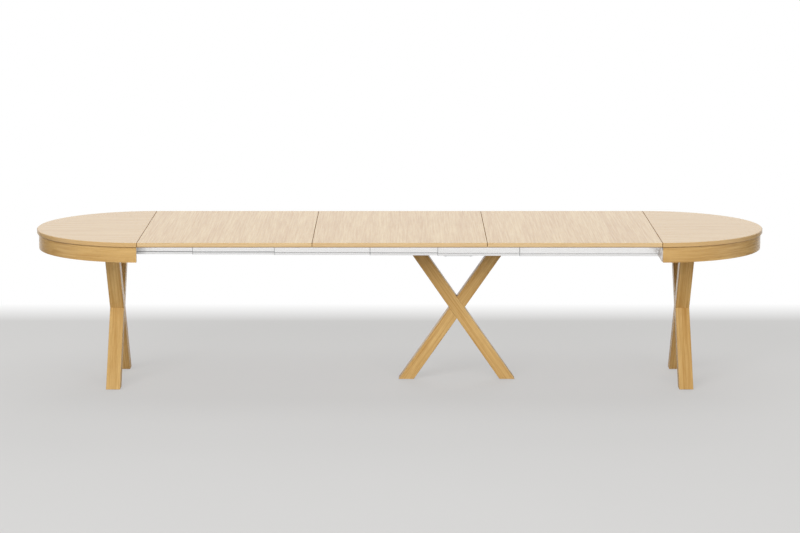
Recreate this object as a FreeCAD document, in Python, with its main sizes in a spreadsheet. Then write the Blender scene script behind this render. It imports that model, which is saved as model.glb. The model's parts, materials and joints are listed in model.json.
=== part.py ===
import FreeCAD, Part
import math
import os
import Sketcher

# Extension dining table in oak, drawn out with three loose leaves between two half-round ends.
# Frame: millimetres, +X along the table, +Y to the rear, +Z up, origin on the floor under the middle.
# Each end stands on an X-shaped leg, and a third X-shaped leg carries the middle runners.
# Eight runners a side nest side by side, so the ends close on each other once the leaves are off.

LEFT = -1
RIGHT = 1
FRONT = -1
REAR = 1
STRAIGHT_ANGLE = 180
LEAVES = ("left_leaf", "middle_leaf", "right_leaf")
# tests of the finished geometry: millimetres, and shares of a height and of a volume
NEAR = 0.01
TALL_RATIO = 0.9
LAP_RATIO = 0.05
DEPTH_NAMES = {FRONT: "front", REAR: "rear"}
SIDE_NAMES = {LEFT: "left", RIGHT: "right"}

doc = FreeCAD.newDocument("ExtensionTable")
sheet = doc.addObject("Spreadsheet::Sheet", "Sizes")

# Driving dimensions in millimetres and degrees.
SIZES = {
    # tops
    "table_height": 760,
    "top_diameter": 1070,
    "top_thickness": 22,
    "top_edge_chamfer": 3,
    "leaf_width": 825,
    "seam_gap": 1.5,
    # curved aprons under the half tops
    "apron_height": 73,
    "apron_thickness": 22,
    "apron_setback": 9,
    "apron_end_setback": 3,
    "glue_block_depth": 24,
    "glue_block_height": 50,
    "glue_block_angle": 6,
    "glue_block_spread_angle": 58,
    # boards across the open side of each half
    "seam_board_thickness": 18,
    "left_board_setback": 120,
    "board_clearance": 2.5,
    # crossed legs
    "beam_width": 61,
    "beam_depth": 68,
    "beam_edge_chamfer": 2,
    "foot_centre": 251,
    "crossing_height": 361,
    "end_leg_inset": 151,
    "middle_leg_offset": 281,
    "glide_height": 4,
    "glide_radius": 17,
    "glide_taper": 2,
    # bearers and blocks between the legs and what they carry
    "bearer_thickness": 18,
    "bearer_clearance": 1,
    "bearer_margin": 15,
    "bearer_reach": 290,
    "channel_half_width": 45,
    "block_reach": 200,
    "middle_bearer_half_width": 40,
    "middle_bearer_half_length": 270,
    "arm_reach": 150,
    "plate_thickness": 3,
    "plate_margin": 10,
    "plate_end_setback": 3,
    "spacer_margin": 10,
    # bolts
    "bolt_radius": 4,
    "bolt_head_radius": 7.5,
    "bolt_head_height": 5,
    "bolt_grip": 36,
    "bolt_inset": 60,
    "bolt_side_gap": 8,
    "plate_bolt_grip": 16,
    "arm_bolt_inset": 55,
    "screw_radius": 2,
    "screw_head_radius": 4.5,
    "screw_head_height": 2,
    "screw_grip": 14,
    "screw_spread": 60,
    "hole_clearance": 0.3,
    # runners, counted from the innermost pair outwards
    "runner_height": 78.7,
    "runner_pitch": 12.5,
    "runner_gap": 0.3,
    "runner_inner_face": 207.5,
    "runner_end_clearance": 4,
    "slot_from_edge": 13,
    "slot_mouth": 4,
    "slot_width": 8,
    "slot_lip": 2.2,
    "slot_pocket": 3,
    "tongue_clearance": 0.3,
    # how far the first and last sliding runners reach into the ends of the drawn-out table
    "runner_a_entry": 132,
    "runner_f_entry": 150,
    # where the others start between them and the middle runner, as a share of the way
    "runner_b_ratio": 0.304,
    "runner_c_ratio": 0.625,
    "runner_e_ratio": 0.453,
}


class Size:
    """A size that keeps its number together with the sheet expression that gives it."""

    def __init__(self, number, text):
        self.number = number
        self.text = text

    def joined(self, other, sign, number, turned=False):
        other_text = other.text if isinstance(other, Size) else f"({other})"
        first, last = (other_text, self.text) if turned else (self.text, other_text)
        return Size(number, f"({first} {sign} {last})")

    def __add__(self, other):
        return self.joined(other, "+", self.number + number_of(other))

    def __radd__(self, other):
        return self.joined(other, "+", number_of(other) + self.number, turned=True)

    def __sub__(self, other):
        return self.joined(other, "-", self.number - number_of(other))

    def __rsub__(self, other):
        return self.joined(other, "-", number_of(other) - self.number, turned=True)

    def __mul__(self, other):
        return self.joined(other, "*", self.number * number_of(other))

    def __rmul__(self, other):
        return self.joined(other, "*", number_of(other) * self.number, turned=True)

    def __truediv__(self, other):
        return self.joined(other, "/", self.number / number_of(other))

    def __neg__(self):
        return Size(-self.number, f"(0 - {self.text})")

    def root(self):
        return Size(math.sqrt(self.number), f"sqrt({self.text})")


def number_of(value):
    """The plain number of a size or of a number."""
    return value.number if isinstance(value, Size) else value


def text_of(value):
    """The sheet expression of a size, or a number as text."""
    return value.text if isinstance(value, Size) else str(value)


def size(name):
    """The driving dimension of that name."""
    return Size(SIZES[name], f"Sizes.{name}")


for row, (alias, value) in enumerate(SIZES.items(), 1):
    sheet.set(f"A{row}", alias)
    sheet.set(f"B{row}", str(value))
    sheet.setAlias(f"B{row}", alias)
doc.recompute()

# Levels above the floor.
top_level = size("table_height")
top_underside = top_level - size("top_thickness")
apron_underside = top_underside - size("apron_height")
runner_top = top_underside - size("runner_gap")
runner_underside = runner_top - size("runner_height")
bearer_top = runner_underside - size("bearer_clearance")
bearer_underside = bearer_top - size("bearer_thickness")
plate_underside = bearer_top - size("plate_thickness")
middle_bearer_underside = plate_underside - size("bearer_thickness")
foot_level = size("glide_height")

# Places along the table.
seam = size("leaf_width") * len(LEAVES) / 2
half_gap = size("seam_gap") / 2
half_face = seam + half_gap
round_radius = size("top_diameter") / 2
apron_outer = round_radius - size("apron_setback")
apron_inner = apron_outer - size("apron_thickness")
middle_leg_x = size("middle_leg_offset")

# Outer faces of the runners, as distances from the table's centre line.
RUNNER_ORDER = ["left", "a", "b", "c", "middle", "e", "f", "right"]
runner_thickness = size("runner_pitch") - size("runner_gap")
runner_face = {
    name: size("runner_inner_face") + size("runner_pitch") * (place + 1) - size("runner_gap")
    for place, name in enumerate(RUNNER_ORDER)
}
outermost_face = runner_face["right"]

# Each runner is as long as the closed round apron has room for beside the centre line.
runner_half = {
    name: (apron_inner * apron_inner - face * face).root() - size("runner_end_clearance")
    for name, face in runner_face.items()
}
runner_length = {name: 2 * half for name, half in runner_half.items()}
runner_length["right"] = runner_half["right"]

# Left ends of the runners in the drawn-out table.
runner_start = {
    "left": -half_face - runner_half["left"],
    "a": -seam - size("runner_a_entry"),
    "middle": middle_leg_x - runner_half["middle"],
    "f": seam + size("runner_f_entry") - runner_length["f"],
    "right": half_face,
}
left_way = runner_start["middle"] - runner_start["a"]
right_way = runner_start["f"] - runner_start["middle"]
runner_start["b"] = runner_start["a"] + size("runner_b_ratio") * left_way
runner_start["c"] = runner_start["a"] + size("runner_c_ratio") * left_way
runner_start["e"] = runner_start["middle"] + size("runner_e_ratio") * right_way

nodes = []


def keep(obj, label):
    """Labels a finished sub-part and puts it on the list of what is written."""
    obj.Label = label
    nodes.append(obj)
    return obj


def bind(obj, **sizes):
    """Binds properties of an object to the sheet."""
    for name, value in sizes.items():
        obj.setExpression(name, text_of(value))


def place(obj, x=0, y=0, z=0):
    """Binds an object's position to the sheet."""
    for axis, value in (("x", x), ("y", y), ("z", z)):
        obj.setExpression(f"Placement.Base.{axis}", text_of(value))


def ordered(one, other):
    """Two places along one axis, the lower first."""
    return (one, other) if number_of(one) <= number_of(other) else (other, one)


def box(name, x, y, z):
    """A box between two places on each axis, given in any order."""
    obj = doc.addObject("Part::Box", name)
    (x0, x1), (y0, y1), (z0, z1) = ordered(*x), ordered(*y), ordered(*z)
    bind(obj, Length=x1 - x0, Width=y1 - y0, Height=z1 - z0)
    place(obj, x0, y0, z0)
    return obj


def rod(name, radius, height, x, y, z):
    """An upright cylinder on a base point."""
    obj = doc.addObject("Part::Cylinder", name)
    bind(obj, Radius=radius, Height=height)
    place(obj, x, y, z)
    return obj


def group(name, pieces):
    """Separate solids kept together as one sub-part."""
    obj = doc.addObject("Part::Compound", name)
    obj.Links = pieces
    return obj


def drilled(name, base, holes):
    """A piece with upright holes through it."""
    drill = group(name + "Drills", holes)
    obj = doc.addObject("Part::Cut", name)
    obj.Base = base
    obj.Tool = drill
    return obj


def new_body(name):
    return doc.addObject("PartDesign::Body", name)


def new_sketch(body, name, role, offset):
    """A sketch on one of the body's own planes, moved along that plane's normal."""
    plane = next(p for p in body.Origin.OriginFeatures if p.Role == role)
    sketch = body.newObject("Sketcher::SketchObject", name)
    sketch.AttachmentSupport = (plane, [""])
    sketch.MapMode = "FlatFace"
    sketch.setExpression("AttachmentOffset.Base.z", text_of(offset))
    return sketch


def hold(sketch, kind, geometry, point, value):
    """Fixes a point's distance from the sketch's origin, along one axis, to a size."""
    number = sketch.addConstraint(
        Sketcher.Constraint(kind, -1, 1, geometry, point, number_of(value))
    )
    sketch.setExpression(f"Constraints[{number}]", text_of(value))


def hold_radius(sketch, geometry, value):
    number = sketch.addConstraint(Sketcher.Constraint("Radius", geometry, number_of(value)))
    sketch.setExpression(f"Constraints[{number}]", text_of(value))


def draw_outline(sketch, points):
    """A closed outline of straight lines through points whose places are bound to the sheet."""
    corners = [FreeCAD.Vector(number_of(x), number_of(y), 0) for x, y in points]
    count = len(corners)
    for i in range(count):
        sketch.addGeometry(Part.LineSegment(corners[i], corners[(i + 1) % count]))
    for i in range(count):
        sketch.addConstraint(Sketcher.Constraint("Coincident", i, 2, (i + 1) % count, 1))
    for i, (x, y) in enumerate(points):
        hold(sketch, "DistanceX", i, 1, x)
        hold(sketch, "DistanceY", i, 1, y)


def add_pad(body, sketch, length, both_ways=False):
    pad = body.newObject("PartDesign::Pad", sketch.Name + "Pad")
    pad.Profile = sketch
    pad.Midplane = both_ways
    bind(pad, Length=length)
    doc.recompute()
    return pad


def add_chamfer(body, base, chosen, width):
    """Bevels the edges of the last feature that a test picks."""
    edges = [f"Edge{i}" for i, edge in enumerate(base.Shape.Edges, 1) if chosen(edge)]
    chamfer = body.newObject("PartDesign::Chamfer", base.Name + "Chamfer")
    chamfer.Base = (base, edges)
    bind(chamfer, Size=width)
    doc.recompute()
    return chamfer


def is_round(edge):
    return isinstance(edge.Curve, Part.Circle)


def is_level(edge, level):
    """Does the edge lie at that height above the floor?"""
    return abs(edge.BoundBox.ZMin - level.number) + abs(edge.BoundBox.ZMax - level.number) < NEAR


def is_top_or_bottom(edge):
    """Does the edge lie on the upper or the lower face of a top?"""
    return is_level(edge, top_level) or is_level(edge, top_underside)


def runs_along_x(edge):
    return edge.BoundBox.XLength > edge.BoundBox.YLength


def draw_half_arc(sketch, side, radius, setback=0):
    """A half circle about the middle of a half top's straight side, cut off a little way behind it."""
    middle = math.pi / 2 - side * math.pi / 2
    reach = math.acos(number_of(setback) / radius.number)
    centre = FreeCAD.Vector(side * half_face.number, 0, 0)
    circle = Part.Circle(centre, FreeCAD.Vector(0, 0, 1), radius.number)
    return sketch.addGeometry(Part.ArcOfCircle(circle, middle - reach, middle + reach))


def half_top(side):
    """Half-round top, bevelled along its curved edge."""
    name = SIDE_NAMES[side] + "_half_top"
    body = new_body(name)
    sketch = new_sketch(body, name + "_outline", "XY_Plane", top_underside)
    arc = draw_half_arc(sketch, side, round_radius)
    curve = sketch.Geometry[arc]
    line = sketch.addGeometry(Part.LineSegment(curve.EndPoint, curve.StartPoint))
    sketch.addConstraint(Sketcher.Constraint("Coincident", arc, 2, line, 1))
    sketch.addConstraint(Sketcher.Constraint("Coincident", line, 2, arc, 1))
    sketch.addConstraint(Sketcher.Constraint("Vertical", line))
    sketch.addConstraint(Sketcher.Constraint("PointOnObject", arc, 3, line))
    sketch.addConstraint(Sketcher.Constraint("PointOnObject", arc, 3, -1))
    hold_radius(sketch, arc, round_radius)
    hold(sketch, "DistanceX", arc, 3, side * half_face)
    pad = add_pad(body, sketch, size("top_thickness"))
    add_chamfer(
        body,
        pad,
        lambda edge: is_round(edge) and is_top_or_bottom(edge),
        size("top_edge_chamfer"),
    )
    return keep(body, name)


def apron(side):
    """Bent apron, a half ring under the half top and set back from its edges."""
    name = SIDE_NAMES[side] + "_apron"
    setback = size("apron_end_setback")
    body = new_body(name)
    sketch = new_sketch(body, name + "_outline", "XY_Plane", apron_underside)
    outer = draw_half_arc(sketch, side, apron_outer, setback)
    inner = draw_half_arc(sketch, side, apron_inner, setback)
    ends = {}
    for point in (1, 2):
        far = sketch.getPoint(outer, point)
        near = sketch.getPoint(inner, point)
        ends[point] = sketch.addGeometry(Part.LineSegment(far, near))
    for point, line in ends.items():
        sketch.addConstraint(Sketcher.Constraint("Coincident", line, 1, outer, point))
        sketch.addConstraint(Sketcher.Constraint("Coincident", line, 2, inner, point))
        sketch.addConstraint(Sketcher.Constraint("Vertical", line))
        hold(sketch, "DistanceX", line, 1, side * (half_face + setback))
    sketch.addConstraint(Sketcher.Constraint("Coincident", outer, 3, inner, 3))
    sketch.addConstraint(Sketcher.Constraint("PointOnObject", outer, 3, -1))
    hold_radius(sketch, outer, apron_outer)
    hold_radius(sketch, inner, apron_inner)
    hold(sketch, "DistanceX", outer, 3, side * half_face)
    add_pad(body, sketch, size("apron_height"))
    return keep(body, name)


def glue_blocks(side):
    """Three blocks glued into the corner between a half top and its apron."""
    name = SIDE_NAMES[side] + "_glue_blocks"
    height = size("glue_block_height")
    base = (side * half_face, 0, top_underside - height)
    middle = 0 if side == RIGHT else STRAIGHT_ANGLE
    blocks = []
    for number, turn in enumerate((-1, 0, 1)):
        sector = rod(f"{name}_sector_{number}", apron_inner, height, *base)
        bind(sector, Angle=size("glue_block_angle"))
        sector.Placement.Rotation = FreeCAD.Rotation(FreeCAD.Vector(0, 0, 1), 0)
        start = middle + turn * size("glue_block_spread_angle") - size("glue_block_angle") / 2
        sector.setExpression("Placement.Rotation.Angle", text_of(start))
        core = rod(f"{name}_core_{number}", apron_inner - size("glue_block_depth"), height, *base)
        block = doc.addObject("Part::Cut", f"{name}_{number}")
        block.Base = sector
        block.Tool = core
        blocks.append(block)
    return keep(group(name, blocks), name)


def seam_boards(side):
    """Boards across a half, between the runners and the apron, front and rear."""
    setback = size("left_board_setback") if side == LEFT else Size(0, "0")
    near = half_face + setback
    far = near + size("seam_board_thickness")
    inner = outermost_face + size("board_clearance")
    outer = (apron_inner * apron_inner - (far - half_face) * (far - half_face)).root()
    outer = outer - size("board_clearance")
    for depth, depth_name in DEPTH_NAMES.items():
        name = f"{SIDE_NAMES[side]}_seam_board_{depth_name}"
        board = box(
            name,
            (side * near, side * far),
            (depth * inner, depth * outer),
            (apron_underside, top_underside),
        )
        keep(board, name)


# Crossed legs: each beam leans from a foot on one side to the bearer on the other.
beam_slope = size("foot_centre") / size("crossing_height")
beam_half_run = size("beam_width") * (beam_slope * beam_slope + 1).root() / 2


def lean_points(centre, lean, low, high):
    """Four corners of a leaning beam between two levels."""
    low_middle = centre + lean * beam_slope * (size("crossing_height") - low)
    high_middle = centre + lean * beam_slope * (size("crossing_height") - high)
    return [
        (low_middle - beam_half_run, low),
        (low_middle + beam_half_run, low),
        (high_middle + beam_half_run, high),
        (high_middle - beam_half_run, high),
    ]


def leg_beam(name, role, offset, centre, lean, top, notch_forward):
    """One beam of a crossed leg, with half its depth cut away where the other beam passes."""
    body = new_body(name)
    sketch = new_sketch(body, name + "_outline", role, offset)
    draw_outline(sketch, lean_points(centre, lean, foot_level, top))
    pad = add_pad(body, sketch, size("beam_depth"), both_ways=True)
    height = (top - foot_level).number
    add_chamfer(
        body,
        pad,
        lambda edge: edge.BoundBox.ZLength > TALL_RATIO * height,
        size("beam_edge_chamfer"),
    )
    before = body.Shape.Volume
    reach = 2 * beam_half_run / beam_slope
    low = size("crossing_height") - reach
    high = size("crossing_height") + reach
    notch_sketch = new_sketch(body, name + "_notch", role, offset)
    draw_outline(notch_sketch, lean_points(centre, -lean, low, high))
    notch = body.newObject("PartDesign::Pocket", name + "_lap")
    notch.Profile = notch_sketch
    notch.Type = "ThroughAll"
    notch.Reversed = notch_forward
    doc.recompute()
    diamond = 2 * beam_half_run.number ** 2 / beam_slope.number
    expected = diamond * SIZES["beam_depth"] / 2
    if abs(before - body.Shape.Volume - expected) > LAP_RATIO * expected:
        raise RuntimeError(f"{name}: the lap isn't half the beam's depth")
    return keep(body, name)


def glides(name, along_x, x, y):
    """A tapered glide under each of a leg's two feet."""
    reach = beam_slope * (size("crossing_height") - foot_level)
    pieces = []
    for turn in (-1, 1):
        glide = doc.addObject("Part::Cone", f"{name}_{len(pieces)}")
        bind(
            glide,
            Radius1=size("glide_radius") - size("glide_taper"),
            Radius2=size("glide_radius"),
            Height=size("glide_height"),
        )
        place(glide, x + turn * reach if along_x else x, y if along_x else y + turn * reach)
        pieces.append(glide)
    return keep(group(name, pieces), name)


def bolt(name, kind, grip, x, y, level, head_up=False):
    """A six-sided head on one side of a level and its shank on the other."""
    head_height = size(kind + "_head_height")
    head = doc.addObject("Part::Prism", name + "_head")
    head.Polygon = 6
    bind(head, Circumradius=size(kind + "_head_radius"), Height=head_height)
    place(head, x, y, level if head_up else level - head_height)
    shank = rod(name + "_shank", size(kind + "_radius"), grip, x, y, level - grip if head_up else level)
    obj = doc.addObject("Part::Fuse", name)
    obj.Base = head
    obj.Tool = shank
    return obj


def drills(name, kind, places, low, high):
    """Upright hole cutters for a kind of bolt between two levels."""
    radius = size(kind + "_radius") + size("hole_clearance")
    return [rod(f"{name}_hole_{i}", radius, high - low, x, y, low) for i, (x, y) in enumerate(places)]


def end_leg(side):
    """The crossed leg under one end, across the table, and what fastens it to the half top."""
    name = SIDE_NAMES[side]
    x = side * (seam + size("end_leg_inset"))
    zero = Size(0, "0")
    leg_beam(f"{name}_leg_front_beam", "YZ_Plane", x, zero, FRONT, bearer_underside, side == LEFT)
    leg_beam(f"{name}_leg_rear_beam", "YZ_Plane", x, zero, REAR, bearer_underside, side == RIGHT)
    glides(f"{name}_foot_glides", False, x, zero)
    bolt_offset = size("beam_depth") / 2 + size("bolt_side_gap") + size("bolt_head_radius")
    half_width = bolt_offset + size("bearer_margin")
    edges = (x - half_width, x + half_width)
    bolt_end = bearer_underside + size("bolt_grip")
    bolts = []
    for depth, depth_name in DEPTH_NAMES.items():
        bearer_name = f"{name}_bearer_{depth_name}"
        block_name = f"{name}_block_{depth_name}"
        inner = depth * size("channel_half_width")
        bearer = box(
            bearer_name + "_board",
            edges,
            (inner, depth * size("bearer_reach")),
            (bearer_underside, bearer_top),
        )
        block = box(
            block_name + "_wood",
            edges,
            (inner, depth * size("block_reach")),
            (bearer_top, top_underside),
        )
        bolt_x = x + depth * bolt_offset
        bolt_y = inner + depth * size("bolt_inset")
        bearer_holes = drills(bearer_name, "bolt", [(bolt_x, bolt_y)], bearer_underside, bearer_top)
        block_holes = drills(block_name, "bolt", [(bolt_x, bolt_y)], bearer_top, bolt_end)
        keep(drilled(bearer_name, bearer, bearer_holes), bearer_name)
        keep(drilled(block_name, block, block_holes), block_name)
        bolt_name = f"{name}_bolt_{depth_name}"
        bolts.append(bolt(bolt_name, "bolt", size("bolt_grip"), bolt_x, bolt_y, bearer_underside))
    keep(group(f"{name}_leg_bolts", bolts), f"{name}_leg_bolts")


def runner(name, key, depth, with_tongues):
    """One aluminium runner: two slots in its outer face, two tongues on its inner face."""
    face = runner_face[key]
    half_mouth = size("slot_mouth") / 2
    half_slot = size("slot_width") / 2
    lip = size("slot_lip")
    pocket = lip + size("slot_pocket")
    clear = size("tongue_clearance")
    slot_levels = (
        runner_underside + size("slot_from_edge"),
        runner_top - size("slot_from_edge"),
    )
    outline = [(Size(0, "0"), runner_underside)]
    for level in slot_levels:
        outline += [
            (Size(0, "0"), level - half_mouth),
            (lip, level - half_mouth),
            (lip, level - half_slot),
            (pocket, level - half_slot),
            (pocket, level + half_slot),
            (lip, level + half_slot),
            (lip, level + half_mouth),
            (Size(0, "0"), level + half_mouth),
        ]
    outline += [(Size(0, "0"), runner_top), (runner_thickness, runner_top)]
    neck_end = size("runner_pitch") + lip + clear
    head_end = size("runner_pitch") + pocket - clear
    for level in reversed(slot_levels) if with_tongues else ():
        outline += [
            (runner_thickness, level + half_mouth - clear),
            (neck_end, level + half_mouth - clear),
            (neck_end, level + half_slot - clear),
            (head_end, level + half_slot - clear),
            (head_end, level - half_slot + clear),
            (neck_end, level - half_slot + clear),
            (neck_end, level - half_mouth + clear),
            (runner_thickness, level - half_mouth + clear),
        ]
    outline.append((runner_thickness, runner_underside))
    body = new_body(name)
    sketch = new_sketch(body, name + "_section", "YZ_Plane", runner_start[key])
    draw_outline(sketch, [(depth * (face - inward), level) for inward, level in outline])
    add_pad(body, sketch, runner_length[key])
    return body


def middle_screw_places(depth):
    """Where the middle runners are screwed to the plate on the middle leg."""
    solid_part = size("slot_lip") + size("slot_pocket")
    y = depth * (runner_face["middle"] - (solid_part + runner_thickness) / 2)
    return [(middle_leg_x + turn * size("screw_spread"), y) for turn in (-1, 1)]


def runners():
    """All runners, front and rear."""
    for key in RUNNER_ORDER:
        for depth, depth_name in DEPTH_NAMES.items():
            name = f"runner_{key}_{depth_name}"
            if key == "middle":
                bar = runner(name + "_bar", key, depth, True)
                screw_end = runner_underside + size("screw_grip")
                holes = drills(name, "screw", middle_screw_places(depth), runner_underside, screw_end)
                keep(drilled(name, bar, holes), name)
            else:
                keep(runner(name, key, depth, key != "left"), name)


def middle_leg():
    """The crossed leg along the table, and the bearer, arms and plate that carry the middle runners."""
    zero = Size(0, "0")
    top = middle_bearer_underside
    leg_beam("middle_leg_right_beam", "XZ_Plane", zero, middle_leg_x, RIGHT, top, False)
    leg_beam("middle_leg_left_beam", "XZ_Plane", zero, middle_leg_x, LEFT, top, True)
    glides("middle_foot_glides", True, middle_leg_x, zero)
    half_width = size("middle_bearer_half_width")
    half_length = size("middle_bearer_half_length")
    plate_half = size("screw_spread") + size("plate_margin")
    face = runner_face["middle"]
    wood = (middle_bearer_underside, plate_underside)
    plate_x = (middle_leg_x - plate_half, middle_leg_x + plate_half)
    bolt_end = bearer_top - size("plate_bolt_grip")

    bearer_bolts = [(middle_leg_x + turn * size("screw_spread"), zero) for turn in (-1, 1)]
    bearer_x = (middle_leg_x - half_length, middle_leg_x + half_length)
    bearer = box("middle_bearer_board", bearer_x, (-half_width, half_width), wood)
    holes = drills("middle_bearer", "bolt", bearer_bolts, bolt_end, plate_underside)
    keep(drilled("middle_bearer", bearer, holes), "middle_bearer")

    arm_bolts = []
    for depth, depth_name in DEPTH_NAMES.items():
        name = f"middle_arm_{depth_name}"
        arm = box(name + "_board", plate_x, (depth * half_width, depth * size("arm_reach")), wood)
        arm_bolt = (middle_leg_x, depth * (half_width + size("arm_bolt_inset")))
        holes = drills(name, "bolt", [arm_bolt], bolt_end, plate_underside)
        keep(drilled(name, arm, holes), name)
        arm_bolts.append(arm_bolt)

    screws = middle_screw_places(FRONT) + middle_screw_places(REAR)
    plate_reach = face - size("plate_end_setback")
    plate = box("middle_plate_blank", plate_x, (-plate_reach, plate_reach), (plate_underside, bearer_top))
    holes = drills("middle_plate_bolt", "bolt", bearer_bolts + arm_bolts, plate_underside, bearer_top)
    holes += drills("middle_plate_screw", "screw", screws, plate_underside, bearer_top)
    keep(drilled("middle_plate", plate, holes), "middle_plate")

    spacer_half = size("screw_spread") - size("spacer_margin")
    for depth, depth_name in DEPTH_NAMES.items():
        name = f"middle_spacer_{depth_name}"
        spacer = box(
            name,
            (middle_leg_x - spacer_half, middle_leg_x + spacer_half),
            (depth * (face - runner_thickness), depth * plate_reach),
            (bearer_top, runner_underside),
        )
        keep(spacer, name)

    screw_length = runner_underside - plate_underside + size("screw_grip")
    fasteners = [
        bolt(f"middle_screw_{i}", "screw", screw_length, x, y, plate_underside)
        for i, (x, y) in enumerate(screws)
    ]
    keep(group("middle_arm_screws", fasteners), "middle_arm_screws")
    fasteners = [
        bolt(f"middle_bolt_{i}", "bolt", size("plate_bolt_grip"), x, y, bearer_top, head_up=True)
        for i, (x, y) in enumerate(bearer_bolts + arm_bolts)
    ]
    keep(group("middle_plate_bolts", fasteners), "middle_plate_bolts")


def leaf(name, place_number):
    """A loose leaf that lies on the runners, bevelled along its two outer edges."""
    start = -seam + size("leaf_width") * place_number + half_gap
    end = start + size("leaf_width") - size("seam_gap")
    half_depth = round_radius
    body = new_body(name)
    sketch = new_sketch(body, name + "_outline", "XY_Plane", top_underside)
    corners = [(start, -half_depth), (end, -half_depth), (end, half_depth), (start, half_depth)]
    draw_outline(sketch, corners)
    pad = add_pad(body, sketch, size("top_thickness"))
    add_chamfer(
        body,
        pad,
        lambda edge: runs_along_x(edge) and is_top_or_bottom(edge),
        size("top_edge_chamfer"),
    )
    return keep(body, name)


for end_side in (LEFT, RIGHT):
    half_top(end_side)
    apron(end_side)
    glue_blocks(end_side)
    seam_boards(end_side)
    end_leg(end_side)
middle_leg()
runners()
for number, leaf_name in enumerate(LEAVES):
    leaf(leaf_name, number)
doc.recompute()

for obj in doc.Objects:
    if "Invalid" in obj.State or "Error" in obj.State:
        raise RuntimeError(f"{obj.Label} failed: {obj.State}")
for node in nodes:
    if node.Shape.isNull() or not node.Shape.isValid() or not node.Shape.Solids:
        raise RuntimeError(f"{node.Label} has no sound solid")

os.makedirs("parts", exist_ok=True)
for node in nodes:
    node.Shape.exportStep(f"parts/{node.Label}.step")
print(len(nodes), "sub-parts,", sum(len(node.Shape.Solids) for node in nodes), "solids")
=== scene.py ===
import json
import math
from collections import namedtuple

import bpy
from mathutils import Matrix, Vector


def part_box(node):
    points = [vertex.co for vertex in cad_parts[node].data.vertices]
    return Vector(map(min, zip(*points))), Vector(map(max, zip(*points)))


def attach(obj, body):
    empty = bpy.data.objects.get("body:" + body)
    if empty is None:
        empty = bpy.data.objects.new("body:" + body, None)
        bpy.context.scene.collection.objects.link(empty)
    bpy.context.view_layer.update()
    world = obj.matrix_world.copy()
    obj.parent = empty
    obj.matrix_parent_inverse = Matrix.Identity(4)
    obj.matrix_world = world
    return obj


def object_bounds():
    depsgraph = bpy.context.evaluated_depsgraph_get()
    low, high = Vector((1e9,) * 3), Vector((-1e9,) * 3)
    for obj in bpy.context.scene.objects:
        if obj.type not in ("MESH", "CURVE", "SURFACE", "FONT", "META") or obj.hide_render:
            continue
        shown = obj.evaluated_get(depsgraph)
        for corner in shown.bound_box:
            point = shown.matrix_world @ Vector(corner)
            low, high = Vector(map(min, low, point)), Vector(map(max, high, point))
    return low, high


# Extension table in oak: finishes, stop plates, floor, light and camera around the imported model.
# Everything is in metres in the model's frame: +X along the table, +Y to the rear, +Z up.
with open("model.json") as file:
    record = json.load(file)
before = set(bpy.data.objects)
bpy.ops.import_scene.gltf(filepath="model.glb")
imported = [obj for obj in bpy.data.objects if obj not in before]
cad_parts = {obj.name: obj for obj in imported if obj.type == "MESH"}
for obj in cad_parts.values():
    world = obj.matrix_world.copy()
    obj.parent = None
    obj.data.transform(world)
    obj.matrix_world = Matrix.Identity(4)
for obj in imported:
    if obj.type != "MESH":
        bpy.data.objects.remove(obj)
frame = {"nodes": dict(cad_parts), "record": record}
cad_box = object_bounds()
nodes = frame["nodes"]

LEAVES = ("left_leaf", "middle_leaf", "right_leaf")
SIDES = ("left", "right")
X_AXIS = Vector((1, 0, 0))
Y_AXIS = Vector((0, 1, 0))
Z_AXIS = Vector((0, 0, 1))

# Screen colours of the materials, as red, green and blue from 0 to 1.
OAK_LIGHT = (0.806, 0.676, 0.454)
OAK_DARK = (0.677, 0.517, 0.291)
OAK_PORE = (0.520, 0.350, 0.175)
APRON_LIGHT = (0.780, 0.642, 0.406)
APRON_DARK = (0.655, 0.500, 0.268)
VENEER_LIGHT = (0.850, 0.735, 0.515)
VENEER_DARK = (0.740, 0.565, 0.285)
LEAF_EDGE = (0.750, 0.655, 0.520)
TOP_EDGE = (0.700, 0.570, 0.390)
# The next colour is a darker backing on the undersides, which also paints shade on the lower chamfers.
BACKING_AND_SHADE = (0.560, 0.415, 0.250)
# The next colour is painted shade at the seams.
SEAM_SHADE = (0.500, 0.340, 0.150)
# The next colour is painted shade on a leaf's lowest edge.
LOWER_EDGE_SHADE = (0.560, 0.425, 0.245)
BOARD_LIGHT = (0.800, 0.750, 0.715)
BOARD_DARK = (0.750, 0.690, 0.650)
# The next colour is a pale paint on the seam boards, which also paints light on them beside the runners.
BOARD_PAINT_AND_LIGHT = (0.980, 0.975, 0.970)
PLAIN_LIGHT = (0.830, 0.720, 0.540)
PLAIN_DARK = (0.730, 0.600, 0.410)
RUNNER_LIGHT = (0.980, 0.979, 0.978)
RUNNER_DARK = (0.962, 0.961, 0.960)
ZINC_LIGHT = (0.780, 0.785, 0.790)
ZINC_DARK = (0.660, 0.665, 0.675)
GLIDE_LIGHT = (0.330, 0.270, 0.210)
GLIDE_DARK = (0.270, 0.215, 0.165)
# The next colour is painted shade in the runners' slots, and also the darker tone of the stop plates.
SLOT_COLOUR = (0.720, 0.722, 0.726)
# The next colour is painted shade on a runner's end, where the apron shades it.
END_SHADE_COLOUR = (0.450, 0.445, 0.440)
FLOOR_COLOUR = (0.815, 0.815, 0.815)
FLOOR_SEEN = (0.830, 0.830, 0.830)

# The curve from screen colours to linear light: straight below its toe and a power above it.
CURVE_TOE = 0.04045
CURVE_SLOPE = 12.92
CURVE_OFFSET = 0.055
CURVE_POWER = 2.4

# Colours of light, already linear, with full opacity.
WHITE = (1.0, 1.0, 1.0, 1.0)
AMBIENT_TINT = (1.0, 0.94, 0.84, 1.0)

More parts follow.
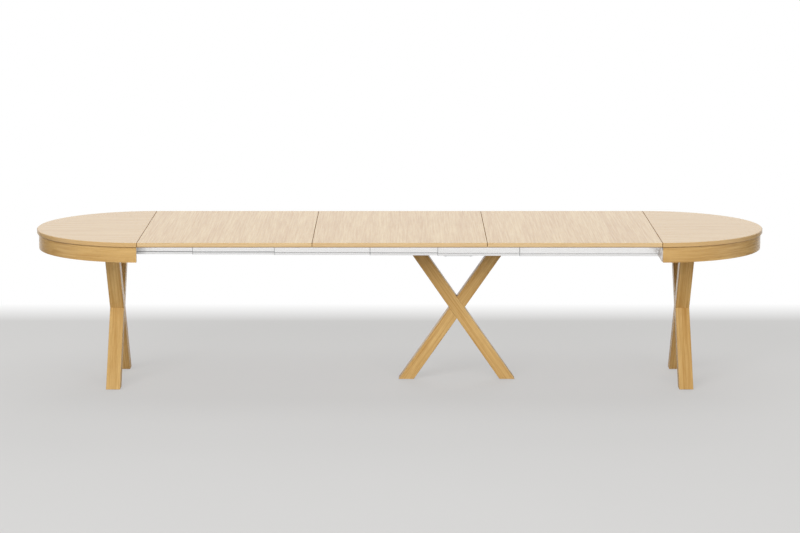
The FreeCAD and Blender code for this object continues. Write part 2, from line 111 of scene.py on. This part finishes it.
# How a kind of oak piece looks: its colours, the strength of its broad bands, of its fine streaks and
# of its gloss, and the colour of its edge band if it is veneered board.
Look = namedtuple("Look", "light dark bands streaks gloss edge")
LEAF_LOOK = Look(VENEER_LIGHT, VENEER_DARK, bands=0.9, streaks=0.55, gloss=0.5, edge=LEAF_EDGE)
TOP_LOOK = Look(VENEER_LIGHT, VENEER_DARK, bands=0.7, streaks=0.30, gloss=0.5, edge=TOP_EDGE)
APRON_LOOK = Look(APRON_LIGHT, APRON_DARK, bands=1.0, streaks=0.50, gloss=0.5, edge=None)
LEG_LOOK = Look(OAK_LIGHT, OAK_DARK, bands=0.95, streaks=0.45, gloss=0.12, edge=None)
BOARD_LOOK = Look(BOARD_LIGHT, BOARD_DARK, bands=0.8, streaks=0.40, gloss=0.3, edge=None)

# Noise patterns: waves per metre along each axis, then the noise's own settings. On wood the first axis
# is along the grain.
Pattern = namedtuple("Pattern", "waves detail roughness distortion", defaults=(2.0, 0.5, 0.0))
OAK_BANDS = Pattern((0.9, 22, 22), distortion=0.35)
OAK_STREAKS = Pattern((3.2, 130, 130), detail=3.0, roughness=0.65)
OAK_FIBRES = Pattern((14, 900, 900), roughness=0.6)
OAK_PORES = Pattern((38, 1100, 1100), detail=1.0)
PLAIN_STREAKS = Pattern((3, 70, 70), detail=3.0, roughness=0.6)
PLAIN_FIBRES = Pattern((20, 600, 600))
ALLOY_LINES = Pattern((6, 900, 900))
STEEL_GRAIN = Pattern((300, 300, 300))
METAL_CLOUDS = Pattern((9, 9, 9))
GLIDE_GRIT = Pattern((900, 900, 900))
FLOOR_CLOUDS = Pattern((0.8, 0.8, 0.8))
# Nearly all of a noise lies between these values.
NOISE_LOW = 0.3
NOISE_HIGH = 0.7

# Where in the grain like pieces start: the first one's place, and the step from each to the next.
Offset = namedtuple("Offset", "start step")
LEAF_OFFSET = Offset((0, 0, 0), (0.37, 0.61, 0))
TOP_OFFSET = Offset((0, 0.29, 0), (0.53, 0, 0))
APRON_OFFSET = Offset((0, 0.13, 0), (0.71, 0, 0))
LEG_OFFSET = Offset((0, 0, 0), (0.43, 0.27, 0.11))
BOARD_OFFSET = (0.9, 0.4, 0.2)

# Relief of the surfaces: its strength, and its depth in metres.
Relief = namedtuple("Relief", "strength depth")
OAK_RELIEF = Relief(0.12, 0.0004)
PLAIN_RELIEF = Relief(0.20, 0.0003)
METAL_RELIEF = Relief(0.05, 0.0002)
RUNNER_RELIEF = Relief(0.02, 0.0002)
GLIDE_RELIEF = Relief(0.15, 0.0002)

# Oak: the part of the noise that makes pores, how dark and how rough these are, and how far the fibres
# change the tone and the height.
PORE_START = 0.60
PORE_END = 0.72
PORE_SHARE = 0.35
PORE_ROUGHNESS = 0.12
MIDDLE_TONE = 0.5
FIBRE_TONE = 0.10
FIBRE_HEIGHT = 0.25
PLAIN_FIBRE_TONE = 0.2

# Lacquer: satin everywhere but on the upper faces, and matt at the seams.
LACQUER_IOR = 1.5
SATIN_ROUGHNESS = 0.25
TOP_ROUGHNESS = 0.15
SEAM_ROUGHNESS = 0.85
# The other finishes run from one roughness to another.
PLAIN_ROUGHNESS = (0.62, 0.74)
RUNNER_ROUGHNESS = (0.23, 0.27)
SPACER_ROUGHNESS = (0.40, 0.50)
ZINC_ROUGHNESS = (0.35, 0.45)
STOP_ROUGHNESS = (0.40, 0.50)
GLIDE_ROUGHNESS = (0.48, 0.60)
# Shares of the fine lines and of the clouds in bare metal.
LINES_SHARE = 0.6
CLOUDS_SHARE = 0.4

# A face is flat where its direction rises or falls by more than the first limit, and carries the backing
# where it rises by less than the second, which takes in the lower chamfers; on these the backing is
# painted shade.
FLAT_LIMIT = 0.9
DOWNWARD_LIMIT = -0.5
EDGE_BAND_SHARE = 0.6
BACKING_AND_SHADE_SHARE = 0.85
# Width of the painted shade on each side of a seam, which stands in for a shaded eased edge.
SEAM_SHADE_WIDTH = 0.0009
# Painted shade on the lowest part of a leaf's edge.
LOWER_HEIGHT = 0.0045
LOWER_SHADE_SHARE = 0.6
# Height over which the pale paint of a seam board fades in, which also paints light on it beside the
# runners.
PAINT_AND_LIGHT_FADE = 0.055
# Part of a beam's height, at its top and at its foot, that holds the points of its end faces.
BEAM_END = 0.02

# Runners: the depth of their slots, how far in these take painted shade, and the strip at the bottom with
# a little painted shade.
SLOT_DEPTH = 0.0065
SLOT_SHADE_START = 0.0004
SLOT_SHADE_END = 0.0016
STRIP_HEIGHT = 0.013
STRIP_SHADE = 0.16
# How strong the painted shade in the slots of each runner is, from the left end's to the right end's.
SLOT_SHADE_SHARES = {
    "left": 1.0,
    "a": 1.0,
    "b": 1.0,
    "c": 0.1,
    "middle": 0.5,
    "e": 0.0,
    "f": 0.0,
    "right": 0.0,
}
# Painted shade on the end that comes out of the left apron, where the apron shades it, from inside its
# seam to a little outside.
SHADED_END_RUNNER = "a"
END_INSIDE = 0.03
END_OUTSIDE = 0.02
END_SHADE_SHARE = 0.65
# Stop plates on the left ends that show, with the body that each rides on. A plate is as wide as a
# runner is thick without its tongues.
RUNNER_THICKNESS = 0.0122
STOP_THICKNESS = 0.0025
STOPPED_RUNNERS = {
    "b": "runner_pair_b",
    "c": "runner_pair_c",
    "middle": "middle_stand",
    "e": "runner_pair_e",
    "f": "runner_pair_f",
}
# Faces of a box whose corners are in order of X, then of Y and then of Z.
BOX_FACES = [(0, 1, 3, 2), (4, 6, 7, 5), (0, 4, 5, 1), (2, 3, 7, 6), (0, 2, 6, 4), (1, 5, 7, 3)]

# Stage: a white world, and a pale floor that turns to white behind the table, between two places
# along Y, and all round it, between two distances from the table's middle line.
FLOOR_HALF = 60.0
FLOOR_CORNERS = [(-1, -1), (1, -1), (1, 1), (-1, 1)]
FLOOR_ROUGHNESS = 0.75
FLOOR_GLOSS = 0.2
FLOOR_CLOUD_SHARE = 0.05
SWEEP_START = 1.55
SWEEP_END = 2.10
FADE_START = 2.95
FADE_END = 4.3
# Share of the floor's colour that the camera sees without light and shadow.
FLAT_SHARE = 0.65
# The corners behind the table's ends are dark in gloss, which draws the round ends of the aprons.
CORNER_START = 2.05
CORNER_END = 3.0
CORNER_GLOSS = 0.15
# Strength of the soft light from all round.
AMBIENT = 0.38
# The room on the camera's side is darker in gloss than the white wall behind the table.
FRONT_GLOSS = 0.80
FRONT_DIRECTION = -0.3
BACK_DIRECTION = 0.3

# Lamps: the place, the point that it faces, the width and height, and the power in watts.
Lamp = namedtuple("Lamp", "name place target size power")
LAMPS = (
    Lamp("key", (-4.5, -10.8, 6.8), (0, 0, 0.5), (8.0, 5.0), 1005),
    Lamp("fill", (3.6, -10.4, 3.6), (0, 0, 0.5), (7.0, 4.0), 440),
    Lamp("overhead", (0, 0.5, 4.2), (0, 0, 0.7), (6.0, 2.5), 45),
    Lamp("rear", (1.5, 10.0, 7.0), (0, 0, 0.5), (9.0, 4.0), 380),
)

# Camera, worked out from the seams and the round ends in the photograph. It looks level when it is turned
# up by a right angle, and is pitched down from there, in degrees.
LENS = 120.03
CAMERA_PLACE = (0.0015, -12.933, 2.682)
CAMERA_LEVEL = 90.0
CAMERA_PITCH = 9.316
CAMERA_REACH = 200.0


def linear(colour):
    """The linear light of a screen colour, with full opacity."""
    light = []
    for value in colour:
        if value <= CURVE_TOE:
            light.append(value / CURVE_SLOPE)
        else:
            light.append(((value + CURVE_OFFSET) / (1 + CURVE_OFFSET)) ** CURVE_POWER)
    return (*light, 1.0)


class Tree:
    """The node tree of a material or a world, built by short calls that return output sockets."""

    # Places of a mix node's sockets, several of which have the same name.
    VECTOR_INPUTS = (4, 5)
    VECTOR_OUTPUT = 1
    COLOUR_INPUTS = (6, 7)
    COLOUR_OUTPUT = 2

    def __init__(self, owner):
        self.owner = owner
        owner.use_nodes = True
        self.tree = owner.node_tree
        self.tree.nodes.clear()

    def add(self, kind, inputs=None, **settings):
        """A new node; inputs are sockets to link from or values to set."""
        node = self.tree.nodes.new(kind)
        for name, value in settings.items():
            setattr(node, name, value)
        for key, value in (inputs or {}).items():
            if isinstance(value, bpy.types.NodeSocket):
                self.tree.links.new(value, node.inputs[key])
            else:
                node.inputs[key].default_value = value
        return node

    def position(self):
        """A point's place on its own piece, so that the grain moves with the piece."""
        return self.add("ShaderNodeTexCoord").outputs["Object"]

    def normal(self):
        """A surface's direction on its own piece."""
        return self.add("ShaderNodeTexCoord").outputs["Normal"]

    def rays(self):
        """What kind of ray meets the surface, one output for each kind."""
        return self.add("ShaderNodeLightPath").outputs

    def split(self, vector):
        """A vector's three parts, as outputs named X, Y and Z."""
        return self.add("ShaderNodeSeparateXYZ", {0: vector}).outputs

    def join(self, x, y, z):
        """A vector from its three parts."""
        return self.add("ShaderNodeCombineXYZ", {0: x, 1: y, 2: z}).outputs[0]

    def vector_math(self, operation, first, second):
        """The node of an operation on two vectors."""
        return self.add("ShaderNodeVectorMath", {0: first, 1: second}, operation=operation)

    def along(self, vector, axis):
        """How far a vector reaches along an axis."""
        return self.vector_math("DOT_PRODUCT", vector, axis).outputs["Value"]

    def scaled(self, vector, scale):
        """A vector with each part times its own scale."""
        return self.vector_math("MULTIPLY", vector, scale).outputs[0]

    def moved(self, vector, offset):
        """A vector with an offset added."""
        return self.vector_math("ADD", vector, offset).outputs[0]

    def math(self, operation, first, second=0.0, third=0.0):
        """The result of an operation on up to three values."""
        inputs = {0: first, 1: second, 2: third}
        return self.add("ShaderNodeMath", inputs, operation=operation).outputs[0]

    def noise(self, vector, pattern):
        """Noise from 0 to 1 in a pattern."""
        inputs = {
            "Vector": self.scaled(vector, pattern.waves),
            "Scale": 1.0,
            "Detail": pattern.detail,
            "Roughness": pattern.roughness,
            "Distortion": pattern.distortion,
        }
        return self.add("ShaderNodeTexNoise", inputs).outputs[0]

    def spread(self, value, low, high, new_low=0.0, new_high=1.0):
        """A value moved from one range to another, and kept inside it."""
        inputs = {0: value, 1: low, 2: high, 3: new_low, 4: new_high}
        return self.add("ShaderNodeMapRange", inputs).outputs[0]

    def spread_noise(self, noise, low=0.0, high=1.0):
        """A noise spread over a whole range."""
        return self.spread(noise, NOISE_LOW, NOISE_HIGH, low, high)

    def limited(self, value):
        """A value kept between 0 and 1."""
        return self.spread(value, 0.0, 1.0)

    def mix(self, share, first, second):
        """Two colours mixed."""
        inputs = {0: share, **dict(zip(self.COLOUR_INPUTS, (first, second)))}
        return self.add("ShaderNodeMix", inputs, data_type="RGBA").outputs[self.COLOUR_OUTPUT]

    def mix_vectors(self, share, first, second):
        """Two vectors mixed."""
        inputs = {0: share, **dict(zip(self.VECTOR_INPUTS, (first, second)))}
        return self.add("ShaderNodeMix", inputs, data_type="VECTOR").outputs[self.VECTOR_OUTPUT]

    def mix_shaders(self, share, first, second):
        """Two shaders mixed."""
        return self.add("ShaderNodeMixShader", {0: share, 1: first, 2: second}).outputs[0]

    def glow(self, colour, strength=1.0):
        """A shader that gives off light."""
        return self.add("ShaderNodeEmission", {0: colour, 1: strength}).outputs[0]

    def surface(self, inputs):
        """The general surface shader."""
        return self.add("ShaderNodeBsdfPrincipled", inputs).outputs[0]

    def bump(self, height, relief):
        """Directions bent by a height."""
        inputs = {"Strength": relief.strength, "Distance": relief.depth, "Height": height}
        return self.add("ShaderNodeBump", inputs).outputs[0]

    def close(self, shader):
        """Ends a material's tree with a shader and returns the material."""
        self.add("ShaderNodeOutputMaterial", {0: shader})
        return self.owner


def straight_grain(along, across, through):
    """Grain coordinates on three axes: along the fibres, across them and through the piece."""
    def build(tree):
        place = tree.position()
        return tree.join(*(tree.along(place, axis) for axis in (along, across, through)))
    return build


def curved_grain(centre_x, radius):
    """Grain coordinates that follow a half circle about an upright axis."""
    def build(tree):
        x, y, z = tree.split(tree.position())[:3]
        outward = tree.math("ABSOLUTE", tree.math("SUBTRACT", x, centre_x))
        turn = tree.math("ARCTAN2", y, outward)
        length = tree.math("ADD", tree.math("MULTIPLY", turn, radius), y)
        return tree.join(length, z, 0.0)
    return build


def edge_share(tree):
    """One on the upright band round a board's edge with its chamfers, and nought on its flat faces."""
    upward = tree.math("ABSOLUTE", tree.split(tree.normal())["Z"])
    return tree.math("LESS_THAN", upward, FLAT_LIMIT)


def banded_grain(face_grain, band_grain):
    """One grain on the flat faces and another on the upright band round the edge."""
    def build(tree):
        return tree.mix_vectors(edge_share(tree), face_grain(tree), band_grain(tree))
    return build


def grain_offset(offset, number):
    """Where in the grain one of several like pieces starts."""
    return tuple(start + step * number for start, step in zip(offset.start, offset.step))


def veneer_edges(tree, colour, look, seams, bottom):
    """A band on the upright edges, painted shade at the seams and a darker backing underneath that also
    paints shade on the lower chamfers.

    Returns the colour and the roughness, which is lowest on the upper face and highest at the seams.
    """
    band = tree.math("MULTIPLY", edge_share(tree), EDGE_BAND_SHARE)
    colour = tree.mix(band, colour, linear(look.edge))
    place = tree.split(tree.position())
    if bottom is not None:
        # Painted shade on the lowest part of a leaf's edge.
        lowest = tree.math("LESS_THAN", place["Z"], bottom + LOWER_HEIGHT)
        colour = tree.mix(tree.math("MULTIPLY", lowest, LOWER_SHADE_SHARE), colour, linear(LOWER_EDGE_SHADE))
    # Faces that face downward take the backing: a darker underside, and painted shade on the lower
    # chamfers.
    upward = tree.split(tree.normal())["Z"]
    downward = tree.math("LESS_THAN", upward, DOWNWARD_LIMIT)
    colour = tree.mix(tree.math("MULTIPLY", downward, BACKING_AND_SHADE_SHARE), colour, linear(BACKING_AND_SHADE))
    smooth = tree.math("GREATER_THAN", upward, FLAT_LIMIT)
    roughness = tree.spread(smooth, 0.0, 1.0, SATIN_ROUGHNESS, TOP_ROUGHNESS)
    # Painted shade, and a matt lacquer, on each side of each seam.
    for seam in seams:
        away = tree.math("ABSOLUTE", tree.math("SUBTRACT", place["X"], seam))
        near = tree.math("LESS_THAN", away, SEAM_SHADE_WIDTH)
        colour = tree.mix(near, colour, linear(SEAM_SHADE))
        matt = tree.math("MULTIPLY", near, SEAM_ROUGHNESS)
        roughness = tree.math("MAXIMUM", roughness, matt)
    return colour, roughness


def oak(name, grain, offset, look, seams=None, bottom=None, paint_and_light_above=None):
    """Lacquered oak: broad bands, streaks, fine fibres and short dark pores, drawn out along the grain.

    Veneered board has seams, the places along the table where it meets its neighbours, and a smoother
    lacquer on its upper face than elsewhere. A leaf is also given its bottom, where its edge has painted
    shade.
    A board's pale paint, which also paints light on it, may fade in from some height upwards.
    """
    tree = Tree(bpy.data.materials.new(name))
    place = tree.moved(grain(tree), offset)
    bands = tree.noise(place, OAK_BANDS)
    streaks = tree.noise(place, OAK_STREAKS)
    fibres = tree.noise(place, OAK_FIBRES)
    pores = tree.spread(tree.noise(place, OAK_PORES), PORE_START, PORE_END)
    swing = tree.math("SUBTRACT", bands, MIDDLE_TONE)
    tone = tree.math("MULTIPLY_ADD", swing, look.bands, MIDDLE_TONE)
    tone = tree.math("ADD", tone, tree.spread_noise(streaks, -look.streaks, look.streaks))
    tone = tree.math("ADD", tone, tree.spread_noise(fibres, -FIBRE_TONE, FIBRE_TONE))
    wood = tree.mix(tree.limited(tone), linear(look.dark), linear(look.light))
    colour = tree.mix(tree.math("MULTIPLY", pores, PORE_SHARE), wood, linear(OAK_PORE))
    roughness = SATIN_ROUGHNESS
    if seams:
        colour, roughness = veneer_edges(tree, colour, look, seams, bottom)
    # Pale paint from some height upwards, which also paints light where the leaf shades the board.
    if paint_and_light_above is not None:
        height = tree.split(tree.position())["Z"]
        painted = tree.spread(height, paint_and_light_above, paint_and_light_above + PAINT_AND_LIGHT_FADE)
        colour = tree.mix(painted, colour, linear(BOARD_PAINT_AND_LIGHT))
    relief = tree.math("SUBTRACT", tree.math("MULTIPLY", fibres, FIBRE_HEIGHT), pores)
    shader = tree.surface(
        {
            "Base Color": colour,
            "Roughness": tree.math("MULTIPLY_ADD", pores, PORE_ROUGHNESS, roughness),
            "IOR": LACQUER_IOR,
            "Specular IOR Level": look.gloss,
            "Normal": tree.bump(relief, OAK_RELIEF),
        }
    )
    return tree.close(shader)


def plain_wood(name, grain):
    """Planed wood without lacquer, for the pieces under the top."""
    tree = Tree(bpy.data.materials.new(name))
    place = grain(tree)
    streaks = tree.noise(place, PLAIN_STREAKS)
    fibres = tree.noise(place, PLAIN_FIBRES)
    fine = tree.spread_noise(fibres, -PLAIN_FIBRE_TONE, PLAIN_FIBRE_TONE)
    tone = tree.limited(tree.math("ADD", tree.spread_noise(streaks), fine))
    shader = tree.surface(
        {
            "Base Color": tree.mix(tone, linear(PLAIN_DARK), linear(PLAIN_LIGHT)),
            "Roughness": tree.spread_noise(fibres, *PLAIN_ROUGHNESS),
            "Normal": tree.bump(fibres, PLAIN_RELIEF),
        }
    )
    return tree.close(shader)


def brushed_metal(name, dark, light, brush, roughness):
    """Bare metal with fine lines and a little cloudiness."""
    tree = Tree(bpy.data.materials.new(name))
    place = tree.position()
    lines = tree.noise(place, brush)
    clouds = tree.noise(place, METAL_CLOUDS)
    cloudy = tree.math("MULTIPLY", clouds, CLOUDS_SHARE)
    tone = tree.spread_noise(tree.math("MULTIPLY_ADD", lines, LINES_SHARE, cloudy))
    shader = tree.surface(
        {
            "Base Color": tree.mix(tone, linear(dark), linear(light)),
            "Metallic": 1.0,
            "Roughness": tree.spread_noise(lines, *roughness),
            "Normal": tree.bump(lines, METAL_RELIEF),
        }
    )
    return tree.close(shader)


def satin_runner(name, face, strip_top, slot_shade_share, shaded_end):
    """Satin alloy, with painted shade in the slots behind the outer face and a little painted shade on
    the lowest strip.

    A runner with painted shade on the end where it slides in its neighbour is given the place of that
    end.
    """
    tree = Tree(bpy.data.materials.new(name))
    place = tree.position()
    x, y, z = tree.split(place)[:3]
    lines = tree.noise(place, ALLOY_LINES)
    depth = tree.math("SUBTRACT", face, tree.math("ABSOLUTE", y))
    # Painted shade in the slots behind the outer face, stronger on some runners than on others.
    inside = tree.spread(depth, SLOT_SHADE_START, SLOT_SHADE_END)
    slot = tree.math("MULTIPLY", inside, tree.math("LESS_THAN", depth, SLOT_DEPTH))
    slot = tree.math("MULTIPLY", slot, slot_shade_share)
    # Painted shade on the lowest strip, which faces down under the grooves.
    strip = tree.math("MULTIPLY", tree.math("LESS_THAN", z, strip_top), STRIP_SHADE)
    colour = tree.mix(tree.spread_noise(lines), linear(RUNNER_DARK), linear(RUNNER_LIGHT))
    colour = tree.mix(strip, colour, linear(ZINC_DARK))
    colour = tree.mix(slot, colour, linear(SLOT_COLOUR))
    # Painted shade on the runner's end next to the left apron, where the apron's shadow falls.
    if shaded_end is not None:
        end_shade = tree.spread(x, shaded_end - END_INSIDE, shaded_end + END_OUTSIDE, END_SHADE_SHARE, 0.0)
        colour = tree.mix(end_shade, colour, linear(END_SHADE_COLOUR))
    shader = tree.surface(
        {
            "Base Color": colour,
            "Metallic": 1.0,
            "Roughness": tree.spread_noise(lines, *RUNNER_ROUGHNESS),
            "Normal": tree.bump(lines, RUNNER_RELIEF),
        }
    )
    return tree.close(shader)


def moulded_plastic(name):
    """Slightly grained plastic of the glides."""
    tree = Tree(bpy.data.materials.new(name))
    grit = tree.noise(tree.position(), GLIDE_GRIT)
    shader = tree.surface(
        {
            "Base Color": tree.mix(grit, linear(GLIDE_DARK), linear(GLIDE_LIGHT)),
            "Roughness": tree.spread_noise(grit, *GLIDE_ROUGHNESS),
            "Normal": tree.bump(grit, GLIDE_RELIEF),
        }
    )
    return tree.close(shader)


def set_material(node_name, material):
    """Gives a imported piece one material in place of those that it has."""
    slots = nodes[node_name].data.materials
    slots.clear()
    slots.append(material)


def half_centre(side):
    """The middle of a half top's straight side, along the table."""
    low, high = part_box(side + "_half_top")
    return high.x if side == "left" else low.x


def beam_axes(node_name):
    """Along, across and through a leaning beam, in the upright plane that it lies in."""
    low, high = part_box(node_name)
    height = high.z - low.z
    side = X_AXIS if high.x - low.x > high.y - low.y else Y_AXIS
    points = [vertex.co for vertex in nodes[node_name].data.vertices]
    feet = [point.dot(side) for point in points if point.z < low.z + height * BEAM_END]
    tops = [point.dot(side) for point in points if point.z > high.z - height * BEAM_END]
    run = (max(tops) + min(tops) - max(feet) - min(feet)) / 2
    along = (side * run + Z_AXIS * height).normalized()
    across = (Z_AXIS * run - side * height).normalized()
    return along, across, along.cross(across)


def dress_tops():
    """Leaves with the grain across the table, half tops and aprons with the grain along it."""
    leaf_face = straight_grain(Y_AXIS, X_AXIS, Z_AXIS)
    leaf_band = straight_grain(X_AXIS, Z_AXIS, Y_AXIS)
    leaf_grain = banded_grain(leaf_face, leaf_band)
    for number, leaf in enumerate(LEAVES):
        low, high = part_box(leaf)
        offset = grain_offset(LEAF_OFFSET, number)
        seams = [low.x, high.x]
        set_material(leaf, oak(leaf + "_oak", leaf_grain, offset, LEAF_LOOK, seams, low.z))
    for number, side in enumerate(SIDES):
        centre = half_centre(side)
        half_top = side + "_half_top"
        top_face = straight_grain(X_AXIS, Y_AXIS, Z_AXIS)
        top_band = curved_grain(centre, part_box(half_top)[1].y)
        top_grain = banded_grain(top_face, top_band)
        offset = grain_offset(TOP_OFFSET, number)
        set_material(half_top, oak(side + "_top_oak", top_grain, offset, TOP_LOOK, [centre]))
        apron = side + "_apron"
        apron_grain = curved_grain(centre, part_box(apron)[1].y)
        offset = grain_offset(APRON_OFFSET, number)
        set_material(apron, oak(apron + "_oak", apron_grain, offset, APRON_LOOK))


def dress_legs():
    """Each beam has its own grain along its length."""
    beams = sorted(name for name in nodes if name.endswith("_beam"))
    for number, beam in enumerate(beams):
        grain = straight_grain(*beam_axes(beam))
        offset = grain_offset(LEG_OFFSET, number)
        set_material(beam, oak(beam + "_oak", grain, offset, LEG_LOOK))


def dress_rest():
    """Inner wood, seam boards, spacers, fasteners and glides, by the record's slots."""
    along_x = straight_grain(X_AXIS, Y_AXIS, Z_AXIS)
    along_y = straight_grain(Y_AXIS, X_AXIS, Z_AXIS)
    inner_along_x = plain_wood("inner_wood_along", along_x)
    inner_along_y = plain_wood("inner_wood_across", along_y)
    runner_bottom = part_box("runner_f_front")[0].z
    board_oak = oak(
        "seam_board_oak", along_y, BOARD_OFFSET, BOARD_LOOK, paint_and_light_above=runner_bottom
    )
    spacer_alloy = brushed_metal(
        "spacer_alloy", ZINC_LIGHT, RUNNER_LIGHT, ALLOY_LINES, SPACER_ROUGHNESS
    )
    zinc_steel = brushed_metal("zinc_steel", ZINC_DARK, ZINC_LIGHT, STEEL_GRAIN, ZINC_ROUGHNESS)
    by_slot = {
        "runner_alloy": spacer_alloy,
        "zinc_steel": zinc_steel,
        "glide_plastic": moulded_plastic("glide_plastic"),
    }
    for part in frame["record"]["subparts"]:
        name = part["node"]
        slot = part["material_slot"]
        if slot in by_slot:
            set_material(name, by_slot[slot])
        elif slot == "inner_wood":
            low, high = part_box(name)
            longer_x = high.x - low.x > high.y - low.y
            set_material(name, inner_along_x if longer_x else inner_along_y)
        elif "seam_board" in name:
            set_material(name, board_oak)


def dress_runners():
    """Satin runners with painted shade in their slots, one material for each pair of front and rear."""
    for node_name in nodes:
        if node_name.startswith("runner_") and node_name.endswith("_front"):
            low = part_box(node_name)[0]
            pair = node_name.removesuffix("_front")
            key = pair.removeprefix("runner_")
            shaded_end = half_centre("left") if key == SHADED_END_RUNNER else None
            strip_top = low.z + STRIP_HEIGHT
            alloy = satin_runner(pair + "_alloy", -low.y, strip_top, SLOT_SHADE_SHARES[key], shaded_end)
            set_material(node_name, alloy)
            set_material(pair + "_rear", alloy)


def add_stop_plates():
    """A thin steel plate on the left end of each runner whose end shows, front and rear."""
    steel = brushed_metal("stop_steel", SLOT_COLOUR, ZINC_DARK, STEEL_GRAIN, STOP_ROUGHNESS)
    for key, body in STOPPED_RUNNERS.items():
        for side in ("front", "rear"):
            low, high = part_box(f"runner_{key}_{side}")
            outer = low.y if side == "front" else high.y
            inner = outer + RUNNER_THICKNESS if side == "front" else outer - RUNNER_THICKNESS
            corners = [
                (x, y, z)
                for x in (low.x - STOP_THICKNESS, low.x)
                for y in sorted((inner, outer))
                for z in (low.z, high.z)
            ]
            mesh = bpy.data.meshes.new(f"runner_{key}_{side}_stop")
            mesh.from_pydata(corners, [], BOX_FACES)
            mesh.materials.append(steel)
            plate = bpy.data.objects.new(mesh.name, mesh)
            bpy.context.scene.collection.objects.link(plate)
            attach(plate, body)


def seen_directly(tree):
    """One for rays that show the background: from the camera, in gloss and through glass."""
    rays = tree.rays()
    total = rays["Is Camera Ray"]
    for name in ("Is Glossy Ray", "Is Transmission Ray"):
        total = tree.math("MAXIMUM", total, rays[name])
    return total


def floor_material():
    """Pale matt floor, white at a distance and behind the table, with corners that are dark in gloss."""
    tree = Tree(bpy.data.materials.new("pale_floor"))
    x, y = tree.split(tree.position())[:2]
    past_end = tree.math("SUBTRACT", tree.math("ABSOLUTE", x), cad_box[1].x)
    beyond = tree.math("MAXIMUM", past_end, 0.0)
    squares = [tree.math("POWER", reach, 2.0) for reach in (beyond, y)]
    distance = tree.math("SQRT", tree.math("ADD", *squares))
    far = tree.spread(distance, FADE_START, FADE_END)
    behind = tree.spread(y, SWEEP_START, SWEEP_END)
    white_share = tree.math("MULTIPLY", tree.math("MAXIMUM", far, behind), seen_directly(tree))
    clouds = tree.noise(tree.position(), FLOOR_CLOUDS)
    cloud_share = tree.spread_noise(clouds, 0.0, FLOOR_CLOUD_SHARE)
    matt = tree.surface(
        {
            "Base Color": tree.mix(cloud_share, linear(FLOOR_COLOUR), WHITE),
            "Roughness": FLOOR_ROUGHNESS,
            "Specular IOR Level": FLOOR_GLOSS,
        }
    )
    rays = tree.rays()
    flat_share = tree.math("MULTIPLY", rays["Is Camera Ray"], FLAT_SHARE)
    near = tree.mix_shaders(flat_share, matt, tree.glow(linear(FLOOR_SEEN)))
    whole = tree.mix_shaders(white_share, near, tree.glow(WHITE))
    sideways = tree.spread(beyond, CORNER_START, CORNER_END)
    corner = tree.math("MULTIPLY", sideways, tree.spread(y, 0.0, SWEEP_START))
    corner_share = tree.math("MULTIPLY", corner, rays["Is Glossy Ray"])
    shade = tree.glow(WHITE, CORNER_GLOSS)
    return tree.close(tree.mix_shaders(corner_share, whole, shade))


def make_floor():
    """The floor that the table stands on."""
    mesh = bpy.data.meshes.new("floor")
    corners = [(x * FLOOR_HALF, y * FLOOR_HALF, 0) for x, y in FLOOR_CORNERS]
    mesh.from_pydata(corners, [], [(0, 1, 2, 3)])
    floor = bpy.data.objects.new("floor", mesh)
    bpy.context.scene.collection.objects.link(floor)
    mesh.materials.append(floor_material())


def make_world():
    """White behind the table, greyer in gloss on the camera's side, and a soft light all round."""
    world = bpy.data.worlds.new("studio")
    bpy.context.scene.world = world
    tree = Tree(world)
    backward = tree.split(tree.add("ShaderNodeTexCoord").outputs["Generated"])["Y"]
    gloss = tree.spread(backward, FRONT_DIRECTION, BACK_DIRECTION, FRONT_GLOSS, 1.0)
    direct = seen_directly(tree)
    light = tree.spread(direct, 0.0, 1.0, AMBIENT, gloss)
    strength = tree.spread(tree.rays()["Is Camera Ray"], 0.0, 1.0, light, 1.0)
    inputs = {"Color": tree.mix(direct, AMBIENT_TINT, WHITE), "Strength": strength}
    background = tree.add("ShaderNodeBackground", inputs)
    tree.add("ShaderNodeOutputWorld", {"Surface": background.outputs[0]})


def make_lights():
    """Large area lamps, which are not mirrored in the lacquer, as the white room is."""
    for lamp in LAMPS:
        light = bpy.data.lights.new(lamp.name, "AREA")
        light.shape = "RECTANGLE"
        light.size, light.size_y = lamp.size
        light.energy = lamp.power
        holder = bpy.data.objects.new(lamp.name, light)
        holder.location = lamp.place
        facing = Vector(lamp.target) - Vector(lamp.place)
        holder.rotation_euler = facing.to_track_quat("-Z", "Y").to_euler()
        bpy.context.scene.collection.objects.link(holder)
        holder.visible_camera = False
        holder.visible_glossy = False


def make_camera():
    """The camera at the photograph's viewing angle."""
    camera = bpy.data.cameras.new("camera")
    camera.lens = LENS
    camera.clip_end = CAMERA_REACH
    holder = bpy.data.objects.new("camera", camera)
    holder.location = CAMERA_PLACE
    holder.rotation_euler = (math.radians(CAMERA_LEVEL - CAMERA_PITCH), 0, 0)
    bpy.context.scene.collection.objects.link(holder)
    bpy.context.scene.camera = holder


dress_tops()
dress_legs()
dress_rest()
dress_runners()
add_stop_plates()
make_floor()
make_world()
make_lights()
make_camera()
bpy.context.scene.view_settings.view_transform = "Standard"
